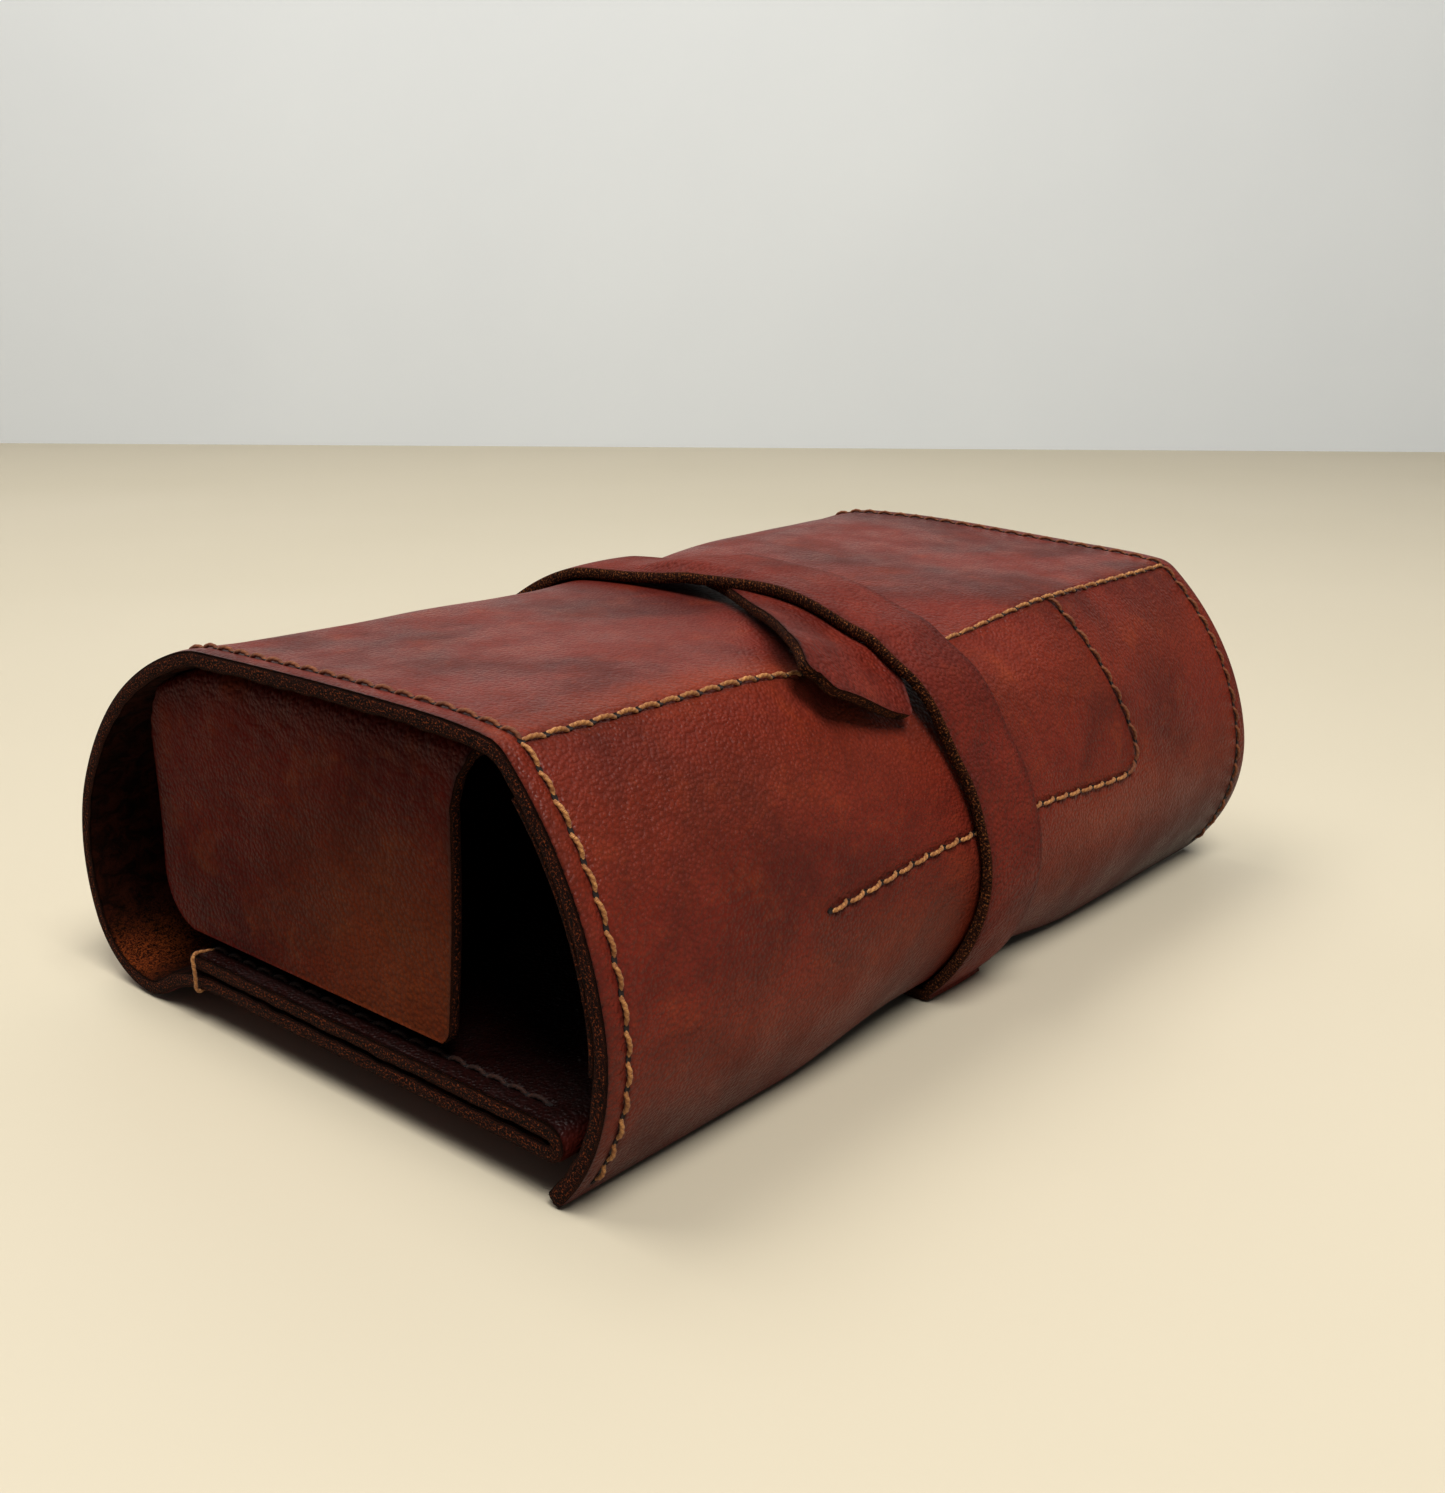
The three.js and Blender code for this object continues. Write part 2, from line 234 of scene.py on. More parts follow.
def make_object(name, points, faces, materials, face_material=None, uv=None, values=None):
    """A smooth mesh object. points are in millimetres, uv and values are one per point."""
    mesh = bpy.data.meshes.new(name)
    mesh.from_pydata((np.asarray(points) * MM).tolist(), [], [list(map(int, f)) for f in faces])
    for material in materials:
        mesh.materials.append(material)
    if face_material is not None:
        mesh.polygons.foreach_set("material_index", np.asarray(face_material, np.int32))
    mesh.polygons.foreach_set("use_smooth", np.ones(len(mesh.polygons), bool))
    if uv is not None:
        corners = np.zeros(len(mesh.loops), np.int32)
        mesh.loops.foreach_get("vertex_index", corners)
        layer = mesh.uv_layers.new(name="UVMap")
        layer.data.foreach_set("uv", np.asarray(uv, np.float32)[corners].ravel())
    for key, numbers in (values or {}).items():
        attribute = mesh.attributes.new(key, "FLOAT", "POINT")
        attribute.data.foreach_set("value", np.asarray(numbers, np.float32))
    mesh.update()
    thing = bpy.data.objects.new(name, mesh)
    bpy.context.scene.collection.objects.link(thing)
    return thing


def border(rows, cols):
    """The grid's edge points in order round it, with the grid point just inside each."""
    ring = [(0, j) for j in range(cols)]
    ring += [(i, cols - 1) for i in range(1, rows)]
    ring += [(rows - 1, j) for j in range(cols - 2, -1, -1)]
    ring += [(i, 0) for i in range(rows - 2, 0, -1)]
    inside = [(min(max(i, 1), rows - 2), min(max(j, 1), cols - 2)) for i, j in ring]
    return ring, inside


def grid_faces(rows, cols, first, flip):
    """Four-sided faces of a grid of points whose first point has this number."""
    i, j = np.meshgrid(np.arange(rows - 1), np.arange(cols - 1), indexing="ij")
    a = first + i * cols + j
    quads = np.stack([a, a + cols, a + cols + 1, a + 1], axis=-1).reshape(-1, 4)
    return quads[:, ::-1] if flip else quads


EDGE_RINGS = 5  # lines of points round a cut edge, between its two sides
GRAIN_SIDE, FLESH_SIDE, CUT_EDGE = range(3)  # material slots of every leather


def clean(distance):
    """Mesh values of a leather with no grime, no wear and no painted light or shade, at these distances from
    its edge.
    """
    return {"edge": distance, "seam": 0 * distance, "warm": 0 * distance}


def leather(name, x, s, place, thickness, materials, bulge=0.35, rough=0.12, values=None):
    """A closed sheet of leather over a grid of x and s, with rounded cut edges.

    place(x, s, lift) gives the points, lift 0 is the sheet's grain side and -thickness its flesh side.
    The cut edges stand out by bulge, and unevenly by rough. x and s also place the grain.
    """
    rows, cols = x.shape
    outer = place(x, s, 0.0)
    inner = place(x, s, -thickness)
    ring, inside = (tuple(np.array(places).T) for places in border(rows, cols))
    away = outer[ring] - outer[inside]
    away /= np.linalg.norm(away, axis=1)[:, None] + 1e-9
    around_count = len(away)
    rounds = np.linspace(0, 1, EDGE_RINGS + 2)[1:-1]
    noise = np.random.default_rng(len(name))
    rings = []
    for t in rounds:
        swell = bulge * math.sin(math.pi * t) ** 0.6 + rough * noise.normal(size=around_count) * 0.5
        rings.append(lerp(outer[ring], inner[ring], t) + away * swell[:, None])

    # The grain and flesh sides share one UV map, and the edge has its own along its length.
    around = travelled(rings[0])
    flat = np.stack([x, s], axis=-1).reshape(-1, 2) / UV_TILE
    down = [np.full(around_count, t * thickness) for t in rounds]
    uv = np.concatenate([flat, flat] + [np.stack([around, depth], axis=-1) / UV_TILE for depth in down])

    # Points in order: grain side, flesh side, then the edge's rings. Faces join each loop to the next.
    points = np.concatenate([outer.reshape(-1, 3), inner.reshape(-1, 3)] + rings)
    count = rows * cols
    top_loop = ring[0] * cols + ring[1]
    ring_loops = [2 * count + k * around_count + np.arange(around_count) for k in range(EDGE_RINGS)]
    loops = [top_loop] + ring_loops + [count + top_loop]
    edge = np.concatenate([
        np.stack([a, b, np.roll(b, -1), np.roll(a, -1)], axis=-1) for a, b in zip(loops, loops[1:])])
    top_faces = grid_faces(rows, cols, 0, flip=False)
    low_faces = grid_faces(rows, cols, count, flip=True)
    faces = np.concatenate([top_faces, low_faces, edge])
    kinds = np.repeat([GRAIN_SIDE, FLESH_SIDE, CUT_EDGE], [len(top_faces), len(low_faces), len(edge)])
    made = {}
    for key, numbers in (values or {}).items():
        flat_value = np.asarray(numbers, float).reshape(-1)
        on_ring = flat_value[top_loop]
        made[key] = np.concatenate([flat_value, flat_value] + [on_ring] * EDGE_RINGS)
    return face_out(make_object(name, points, faces, materials, kinds, uv, made))


def face_out(thing):
    """Turns a closed mesh's faces out if they point in."""
    mesh = thing.data
    mesh.calc_loop_triangles()
    co = np.zeros(len(mesh.vertices) * 3)
    mesh.vertices.foreach_get("co", co)
    tri = np.zeros(len(mesh.loop_triangles) * 3, np.int32)
    mesh.loop_triangles.foreach_get("vertices", tri)
    a, b, c = co.reshape(-1, 3)[tri.reshape(-1, 3)].transpose(1, 0, 2)
    volume = np.einsum("ij,ij->i", a, np.cross(b, c)).sum()
    if volume < 0:
        mesh.flip_normals()
    return thing


def stops(*parts):
    """Positions along a line: (from, to, spacing) stretches joined end to end."""
    runs = [np.linspace(a, b, max(2, round((b - a) / step) + 1)) for a, b, step in parts]
    return np.concatenate([runs[0]] + [run[1:] for run in runs[1:]])


# ---- materials

class Graph:
    """Short calls for building one material's nodes."""

    def __init__(self, name):
        self.material = bpy.data.materials.new(name)
        self.material.use_nodes = True
        self.nodes = self.material.node_tree.nodes
        self.links = self.material.node_tree.links
        self.shader = self.nodes["Principled BSDF"]
        uv = self.nodes.new("ShaderNodeUVMap")
        uv.uv_map = "UVMap"
        self.uv = uv.outputs["UV"]

    def put(self, socket, value):
        if isinstance(value, bpy.types.NodeSocket):
            self.links.new(value, socket)
        else:
            socket.default_value = value

    def node(self, kind, output, **inputs):
        """The output of a new node with these inputs."""
        node = self.nodes.new(kind)
        for name, value in inputs.items():
            self.put(node.inputs[name], value)
        return node.outputs[output]

    def stretch(self, across, along):
        """The UV map, in millimetres, pulled out of square by these factors."""
        scale = (UV_TILE * across, UV_TILE * along, 1)
        return self.node("ShaderNodeMapping", "Vector", Vector=self.uv, Scale=scale)

    def noise(self, size, detail=3.0, rough=0.55, vector=None, distortion=0.0):
        """Noise whose blobs are about this many millimetres across."""
        return self.node(
            "ShaderNodeTexNoise", "Fac", Vector=vector or self.stretch(1, 1), Scale=1 / size,
            Detail=detail, Roughness=rough, Distortion=distortion)

    def cells(self, size):
        """Distances in a pattern of cells about this many millimetres across."""
        return self.node("ShaderNodeTexVoronoi", "Distance", Vector=self.stretch(1, 1), Scale=1 / size)

    def math(self, operation, a, b=0.0):
        node = self.nodes.new("ShaderNodeMath")
        node.operation = operation
        self.put(node.inputs[0], a)
        self.put(node.inputs[1], b)
        return node.outputs[0]

    def between(self, value, low, high, to_low=0.0, to_high=1.0):
        """value, from low to high, as a number from to_low to to_high."""
        node = self.nodes.new("ShaderNodeMapRange")
        node.interpolation_type = "SMOOTHSTEP"
        self.put(node.inputs["Value"], value)
        node.inputs["From Min"].default_value = low
        node.inputs["From Max"].default_value = high
        node.inputs["To Min"].default_value = to_low
        node.inputs["To Max"].default_value = to_high
        return node.outputs["Result"]

    def mix(self, share, a, b):
        node = self.nodes.new("ShaderNodeMix")
        node.data_type = "RGBA"
        self.put(node.inputs["Factor"], share)
        self.put(node.inputs["A"], a)
        self.put(node.inputs["B"], b)
        return node.outputs["Result"]

    def value(self, name):
        """The mesh value of this name."""
        node = self.nodes.new("ShaderNodeAttribute")
        node.attribute_name = name
        return node.outputs["Fac"]

    def bump(self, height, strength, distance, normal=None):
        """A normal that stands out by distance, in millimetres, where height is 1."""
        below = {"Normal": normal} if normal else {}
        return self.node(
            "ShaderNodeBump", "Normal", Strength=strength, Distance=distance * MM, Height=height, **below)

    def finish(self, color, roughness, normal, **constants):
        """The finished material. constants are shader inputs that are the same all over."""
        self.put(self.shader.inputs["Base Color"], color)
        self.put(self.shader.inputs["Roughness"], roughness)
        self.put(self.shader.inputs["Normal"], normal)
        for name, number in constants.items():
            self.shader.inputs[name.replace("_", " ")].default_value = number
        return self.material


def color(red, green, blue):
    """A colour given in sRGB, from 0 to 255, as Blender's linear one."""
    linear = [((c / 255 + 0.055) / 1.055) ** 2.4 if c > 10 else c / 255 / 12.92 for c in (red, green, blue)]
    return (*linear, 1.0)


def grain_leather(name, body, dark, warm, grain=0.9, gloss=0.42, pebble=0.5, shiny=0.18):
    """Waxed pull-up leather: cloudy colour, fine pebble grain, and a soft uneven shine.

    It is darker near cut edges, where grime and painted shade lie, and goes to the warm colour where it is
    worn and where painted light falls.
    """
    g = Graph(name)
    deep_shade = color(16, 5, 4)
    clouds = g.noise(38, detail=4, rough=0.6, distortion=0.6)
    patches = g.noise(11, detail=3, rough=0.6, distortion=0.4)
    mottle = g.noise(2.6, detail=4, rough=0.65)
    specks = g.noise(0.55, detail=2, rough=0.6)
    shade = g.mix(g.between(clouds, 0.32, 0.60, 0.35, 1), dark, body)
    shade = g.mix(g.between(patches, 0.50, 0.80, 0, 0.35), shade, warm)
    shade = g.mix(g.between(patches, 0.48, 0.26, 0, 0.25), shade, dark)
    shade = g.mix(g.between(mottle, 0.52, 0.74, 0, 0.22), shade, warm)
    shade = g.mix(g.between(mottle, 0.46, 0.28, 0, 0.28), shade, dark)
    near_edge = g.between(g.value("edge"), 3.2, 0.2)
    shade = g.mix(g.math("MULTIPLY", near_edge, 0.45), shade, dark)
    shade = g.mix(g.math("MULTIPLY", g.value("warm"), 0.75), shade, warm)
    # The 'seam' value holds grime in the grooves and painted shade; past 1.2 it is deep painted shade, most
    # of all in the pocket.
    shade = g.mix(g.between(g.value("seam"), 0, 2), shade, dark)
    shade = g.mix(g.between(g.value("seam"), 1.2, 1.8, 0, 0.85), shade, deep_shade)
    pores = g.cells(grain)
    valleys = g.between(pores, 0.35, 0.75)
    shade = g.mix(g.math("MULTIPLY", valleys, 0.22), shade, dark)
    shine = g.between(g.noise(14, detail=3), 0.35, 0.7, gloss - 0.06, gloss + 0.13)
    shine = g.math("ADD", shine, g.math("MULTIPLY", g.math("SUBTRACT", specks, 0.5), 0.35))
    normal = g.bump(g.noise(9, detail=3, rough=0.5), 0.35, 0.5)
    normal = g.bump(pores, 1.0, -0.45 * pebble * grain, normal)
    normal = g.bump(specks, 1.0, 0.16 * pebble, normal)
    return g.finish(shade, shine, normal, Specular_IOR_Level=shiny)


def flesh_leather(name, body, dark, worn):
    """The hide's rough underside: matted fibres."""
    g = Graph(name)
    fibres = g.noise(0.7, detail=4, rough=0.7, distortion=1.5)
    clumps = g.noise(4, detail=4, rough=0.65, distortion=0.8)
    shade = g.mix(g.between(clumps, 0.35, 0.65), dark, body)
    shade = g.mix(g.math("MULTIPLY", g.value("warm"), g.between(fibres, 0.42, 0.6)), shade, worn)
    shade = g.mix(g.between(fibres, 0.45, 0.35, 0, 0.6), shade, dark)
    normal = g.bump(clumps, 0.6, 0.8)
    normal = g.bump(fibres, 0.9, 0.4, normal)
    return g.finish(shade, 0.95, normal, Specular_IOR_Level=0.05)


def edge_leather(name, body, dark, speck):
    """A cut edge: dark dyed fibres with a few raw specks."""
    g = Graph(name)
    layers = g.noise(0.9, detail=4, rough=0.7, vector=g.stretch(0.25, 1.6), distortion=0.5)
    specks = g.noise(0.45, detail=3, rough=0.75)
    shade = g.mix(g.between(layers, 0.38, 0.62), dark, body)
    shade = g.mix(g.between(specks, 0.53, 0.64, 0, 0.85), shade, speck)
    normal = g.bump(layers, 0.8, 0.4)
    normal = g.bump(specks, 0.8, 0.3, normal)
    return g.finish(shade, 0.8, normal, Specular_IOR_Level=0.1)


def thread_fibre(name, body, dark):
    """Waxed thread: light twisted fibres, darker in the grooves of the twist."""
    g = Graph(name)
    fibres = g.noise(0.18, detail=3, rough=0.6, vector=g.stretch(3, 0.6))
    wear = g.noise(3.5, detail=2)
    shade = g.mix(g.between(fibres, 0.35, 0.6), dark, body)
    shade = g.mix(g.between(wear, 0.6, 0.4, 0, 0.45), shade, dark)
    shade = g.mix(g.math("MULTIPLY", g.value("crease"), 0.7), shade, dark)
    normal = g.bump(fibres, 0.5, 0.08)
    return g.finish(shade, 0.62, normal, Specular_IOR_Level=0.25, Sheen_Weight=0.1)


def hole_shade(name):
    """Painted shade for the inside of an awl hole."""
    g = Graph(name)
    shade = g.mix(g.noise(0.3), color(14, 6, 4), color(34, 15, 10))
    return g.finish(shade, 0.9, g.bump(g.noise(0.3), 0.4, 0.1))


CASE_GRAIN = grain_leather(
    "case_grain", color(110, 38, 26), color(56, 18, 15), color(144, 63, 32), grain=0.75, pebble=0.8)
FLAP_GRAIN = grain_leather(
    "flap_grain", color(84, 18, 8), color(48, 6, 4), color(122, 62, 26), gloss=0.5, pebble=0.8, shiny=0.07)
STRAP_GRAIN = grain_leather(
    "strap_grain", color(110, 36, 22), color(66, 19, 13), color(140, 58, 33), gloss=0.55, pebble=1.1)
FLESH = flesh_leather("flesh_side", color(48, 18, 9), color(13, 5, 3), color(150, 74, 32))
EDGE = edge_leather("cut_edge", color(38, 13, 8), color(8, 3, 2), color(150, 76, 38))
STRAP_EDGE = edge_leather("strap_edge", color(58, 26, 15), color(12, 5, 4), color(170, 106, 58))
THREAD = thread_fibre("waxed_thread", color(204, 152, 94), color(112, 62, 30))
# A darker, browner copy of the thread, for the far front row, the top rows and the slip pocket's side row.
DARKER_THREAD = thread_fibre("worn_thread", color(150, 92, 54), color(84, 42, 24))
# A copy of the thread darkened with painted shade, for the rows inside the pocket.
SHADED_THREAD = thread_fibre("dull_thread", color(72, 36, 20), color(30, 13, 8))
HOLE_SHADE = hole_shade("awl_hole_shade")

# Each leather's grain side, flesh side and cut edge
CASE_LEATHER = [CASE_GRAIN, FLESH, EDGE]
FLAP_LEATHER = [FLAP_GRAIN, FLESH, EDGE]
STRAP_LEATHER = [STRAP_GRAIN, FLESH, STRAP_EDGE]
LINING_LEATHER = [FLESH, FLAP_GRAIN, EDGE]


# ---- stitch rows, as in the CAD model

SLIP_NEAR = 54
SLIP_FAR = 167
SLIP_BOTTOM = 40
SLIP_SLANT = 7.5  # how much further from the far end the side row is at the long seam
SLIP_CORNER = 6  # radius where the two rows meet
PITCH = 5.0  # length of a stitch


def line(x0, x1, s0, s1, count=120):
    """A straight line of [x, s] points on the hide."""
    return np.stack([np.linspace(x0, x1, count), np.linspace(s0, s1, count)], axis=-1)


def slip_side_x(s):
    """X of the slip pocket's slanted side row."""
    return SLIP_FAR - SLIP_SLANT * (s - SLIP_BOTTOM) / (SEAM - SLIP_BOTTOM)


def slip_path():
    """Down the slip pocket's side, round its corner and along its bottom."""
    s = np.linspace(SEAM, SLIP_BOTTOM + SLIP_CORNER, 60)
    side = np.stack([slip_side_x(s), s], axis=-1)
    angle = np.linspace(0, math.pi / 2, 16)[1:]
    x = side[-1, 0] - SLIP_CORNER * (1 - np.cos(angle))
    corner = np.stack([x, SLIP_BOTTOM + SLIP_CORNER * (1 - np.sin(angle))], axis=-1)
    bottom = line(x[-1], SLIP_NEAR, SLIP_BOTTOM, SLIP_BOTTOM)[1:]
    return np.concatenate([side, corner]), np.concatenate([corner[-1:], bottom])


def groove(x, s):
    """How deep the seams' grooves are at places on the hide, from 0 to 1."""
    end_rows = bell(x - SEAM_INSET, 1.0) + bell(x - LENGTH + SEAM_INSET, 1.0)
    depth = end_rows * (s > 4) * (s < TOP_END)
    depth += end_rows * (s > POCKET_START + 3)
    depth += bell(s - SEAM, 1.0) * (x > SEAM_INSET) * (x < LENGTH - SEAM_INSET)
    on_slip = (s > SLIP_BOTTOM + 3) & (s < SEAM)
    depth += bell(x - slip_side_x(s), 1.0) * on_slip
    depth += bell(s - SLIP_BOTTOM, 1.0) * (x > SLIP_NEAR) * (x < SLIP_FAR - 4)
    return np.clip(depth, 0, 1)


# ---- the hide

def edge_distance(x, s, x_low, x_high, s_low, s_high):
    """How far places on a rectangular leather are from its nearest edge."""
    return np.minimum.reduce([x - x_low, x_high - x, s - s_low, s_high - s])


def make_hide():
    """The hide, with a finer grid at its edges, at the seams and at the fold."""
    bulge = 0.35
    xs = stops(
        (bulge, 8, 0.5), (8, 44, 1.3), (44, 66, 1.2), (66, 156, 1.3), (156, 169, 0.6), (169, 213, 1.3),
        (213, LENGTH - bulge, 0.5))
    ss = stops(
        (bulge, 38, 1.2), (38, 42, 0.5), (42, 76, 1.2), (76, 90, 0.6), (90, 270, 1.4),
        (270, FLOOR_END, 2.0), (FLOOR_END, POCKET_START, 0.7), (POCKET_START, HIDE_LENGTH - 6, 2.0),
        (HIDE_LENGTH - 6, HIDE_LENGTH - bulge, 0.6))
    x, s = np.meshgrid(xs, ss, indexing="ij")
    distance = edge_distance(x, s, 0, LENGTH, 0, HIDE_LENGTH)

    def place(x, s, lift):
        """Both sides are worn down at the edges, and gently wavy away from them."""
        worn = 0.22 * bell(distance, 0.8)
        if lift < 0:
            return skin(x, s, lift + worn + 0.15 * ripples(x, s, 9, 6, 5))
        fade = smooth(0, 14, distance) * (1 - smooth(225, 255, s))
        waves = 0.35 * ripples(x, s, 60, 7, 3) + 0.10 * ripples(x, s, 17, 9, 4)
        return skin(x, s, -worn - 0.28 * groove(x, s) - 0.35 * fade + fade * waves * 0.35)

    # Worn places: low on the front wall, along the corner, under the slip pocket's bottom row, and at
    # both ends of the back corner. The warm band high on the front wall is painted light.
    warm = 0.4 * bell(s - 20, 16) * bell(x - 70, 90) + 0.5 * bell(s - SEAM - 3, 5) * bell(x - 60, 60)
    warm += 0.25 * bell(s - 66, 14) + 0.4 * bell(s - SLIP_BOTTOM + 7, 10) * smooth(120, 150, x)
    warm += 0.7 * bell(s - 268, 9) * smooth(30, 8, np.minimum(x, LENGTH - x))
    # Dirt lies in the grooves. Painted shade lies in the pocket and low on the front wall, most of all at
    # its far end.
    dirt_and_shade = groove(x, s) + 1.8 * smooth(FLOOR_END, POCKET_START, s) + 0.8 * smooth(38, 4, s)
    dirt_and_shade += 0.7 * smooth(120, 200, x) * smooth(55, 30, s)
    # Painted light: the painted shade is halved high on the front wall, where the light falls.
    painted_light_front = smooth(30, 60, s) * (1 - smooth(78, 82, s)) * (1 - groove(x, s))
    dirt_and_shade *= 1 - 0.5 * painted_light_front
    values = {"edge": distance, "seam": dirt_and_shade, "warm": np.clip(warm, 0, 1)}
    hide = leather("case_hide", x, s, place, HIDE, CASE_LEATHER, bulge, values=values)
    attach(hide, "case")
    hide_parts("outer_panel")


make_hide()


INSIDE = -HIDE - GAP  # lift of a leather that lies against the hide's flesh side
POCKET_INSET = 0.8  # of the slip pocket from the ends of the case
POCKET_LOW = 28
POCKET_HIGH = 76


def inside_hide(x, s, lift):
    """Points of a leather that lies against the hide's flesh side."""
    return skin(x, s, INSIDE + lift)


def make_slip_pocket():
    """The thin leather sewn inside the front wall, with its flesh side towards the wall."""
    bulge = 0.2
    x_low, x_high = POCKET_INSET, LENGTH - POCKET_INSET
    xs = stops((x_low + bulge, x_high - bulge, 2.5))
    ss = stops((POCKET_LOW + bulge, POCKET_HIGH - bulge, 1.5))
    x, s = np.meshgrid(xs, ss, indexing="ij")
    distance = edge_distance(x, s, x_low, x_high, POCKET_LOW, POCKET_HIGH)
    pocket = leather("slip_pocket", x, s, inside_hide, LINING, LINING_LEATHER, bulge, values=clean(distance))
    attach(pocket, "case")
    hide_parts("front_pocket")


make_slip_pocket()


# ---- end flaps

HINGE_INSET = 3.6  # from the end of the case to the middle of the hanging flap
BAND_DEPTH = 11
FLAP_TOP = 67.5
FLAP_BOTTOM = 18
FLAP_FRONT = -36.5
FLAP_BACK = 48.5
FLAP_LEAN = 2.5  # how much further forward the front side is at the top of its straight part
FLAP_STRAIGHT = 38  # height of that straight part
FRONT_CORNER_RADIUS = 3
BACK_CORNER_RADIUS = 12
FOLD_INSET = 7.0  # from the end of the case to where the leather leaves the top
FOLD_OUTSIDE = 3.4  # radius of the fold's grain side
FOLD_DROP = 2.5  # from the flap's top to the end of its fold
FLAP_BULGE = 0.35


def flare(z, height):
    """0 below the flare, growing to 1 at the flap's top, squared so that it starts gently."""
    return np.clip((z - FLAP_TOP + height) / height, 0, 1) ** 2


def round_corner(z, radius):
    """How far a round bottom corner takes the flap's side in at heights z."""
    into = np.clip((FLAP_BOTTOM + radius - z) / radius, 0, 1)
    return radius * (1 - np.sqrt(1 - into ** 2))


def flap_sides(z):
    """The flap's front and back sides at heights z. Both curve forward to the fold."""
    front = FLAP_FRONT - FLAP_LEAN * (z - FLAP_BOTTOM) / FLAP_STRAIGHT - 6.5 * flare(z, 12)
    back = FLAP_BACK - 5.0 * flare(z, 14)
    return front + round_corner(z, FRONT_CORNER_RADIUS), back - round_corner(z, BACK_CORNER_RADIUS)


def make_flap(end, side):
    """One leather flap with its fold: it leaves the sewn edge under the top and turns down."""
    outer_x = side * (LENGTH / 2 - HINGE_INSET + FLAP / 2)
    fold_x = FOLD_INSET if side < 0 else LENGTH - FOLD_INSET
    quarter = np.linspace(0, math.pi / 2, 12)
    down = np.linspace(0, 1, 60)[1:]
    across = np.linspace(0, 1, 96)

    # The fold's grain side follows the underside of the top, which is not level.
    fold_front, fold_back = flap_sides(np.float64(FLAP_TOP))
    over_top = np.arange(CORNER, 182.0)
    fold_y = lerp(fold_front, fold_back, across)
    fold_z = np.interp(fold_y, skin(fold_x, over_top)[:, 1], skin(fold_x, over_top, INSIDE)[:, 2])
    fold_z = fold_z[None, :] - FOLD_OUTSIDE

    # Each row of the grid has one turn of the fold, and one height where the flap's sides are taken.
    turned = np.concatenate([quarter, np.full(len(down), math.pi / 2)])[:, None]
    share = np.concatenate([np.zeros(len(quarter)), down])[:, None]
    in_fold = lerp(FLAP_TOP, FLAP_TOP - FOLD_DROP, quarter / quarter[-1])
    below_fold = lerp(FLAP_TOP - FOLD_DROP, FLAP_BOTTOM + FLAP_BULGE, down)
    front, back = flap_sides(np.concatenate([in_fold, below_fold])[:, None])
    y = lerp(front + FLAP_BULGE, back - FLAP_BULGE, across[None, :])
    z_middle = lerp(fold_z, FLAP_BOTTOM + FLAP_BULGE, share)

    # The leather puckers at the fold, and below it bows in a little between its ends.
    seed = 11 if side < 0 else 12
    puckers = 0.22 * ripples(y, 2 * z_middle, 7, 7, seed) * smooth(0.35, 0.0, share)
    bowed = 0.8 * np.sin(math.pi * share)

    def place(_y, _height, lift):
        radius = FOLD_OUTSIDE + lift + puckers
        x = outer_x - side * FOLD_OUTSIDE + side * (radius * np.sin(turned) - bowed)
        z = z_middle + radius * np.cos(turned)
        return np.stack([x, y, z], axis=-1)

    height = z_middle + FOLD_OUTSIDE * np.cos(turned)
    distance = np.minimum.reduce([y - front, back - y, height - FLAP_BOTTOM])
    # The flap goes warmer towards its front and its bottom, and darker in its fold.
    warm = 0.6 * smooth(25, -25, y) * smooth(64, 30, height)
    values = {"edge": distance, "seam": 0.7 * smooth(0.12, 0, share) + 0 * y, "warm": warm}
    grain_shift = 60
    flap = leather(
        f"{end}_flap_leaf", y + grain_shift, height, place, FLAP, FLAP_LEATHER, FLAP_BULGE, values=values)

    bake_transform(flap)
    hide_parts(f"{end}_flap")


def make_band(end, side):
    """The flap's sewn edge, flat under the top."""
    bulge = 0.3
    inset = HINGE_INSET + FLAP / 2 + GAP
    reach = stops((inset + bulge, inset + BAND_DEPTH - bulge, 1.0))
    xs = reach if side < 0 else LENGTH - reach[::-1]
    ss = stops((BAND_START + bulge, TOP_END - bulge, 1.5))
    x, s = np.meshgrid(xs, ss, indexing="ij")
    distance = edge_distance(x, s, xs[0] - bulge, xs[-1] + bulge, BAND_START, TOP_END)
    band = leather(
        f"{end}_flap_sewn_edge", x, s, inside_hide, FLAP, FLAP_LEATHER, bulge, values=clean(distance))
    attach(band, "case")
    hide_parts(f"{end}_flap_band")


for end_name, end_side in ENDS:
    make_flap(end_name, end_side)
    make_band(end_name, end_side)


# ---- the strap and its tail

TAIL_LIFT = STRAP + 2 * GAP  # how far the tail raises the strap that lies over it
TAIL_NARROW = 14
TAIL_WIDE = 29
TAIL_SLANT = 4.6  # how far the cut end leans along the tail
TAIL_CORNER = 3.5  # how far the near corner of the cut end is taken back
TAIL_DROOP = 3.5  # how far the free part stands off the case
TAIL_FOLD = STRAP_MIDDLE - STRAP_SLIP - STRAP_WIDTH / 2 - GAP  # x of the fold at the corner
TAIL_FOLD_SLOPE = 0.08  # how much the fold's x grows with s
TAIL_POINTS = np.array([(STRAP_MIDDLE + 2, 130), (STRAP_MIDDLE, 120), (95.5, 96), (75.6, 71.9)], float)


def strap_lift(s):
    """How far the strap is raised by the tail under it."""
    return TAIL_LIFT * smooth(56, 75, s) * (1 - smooth(131, 158, s))


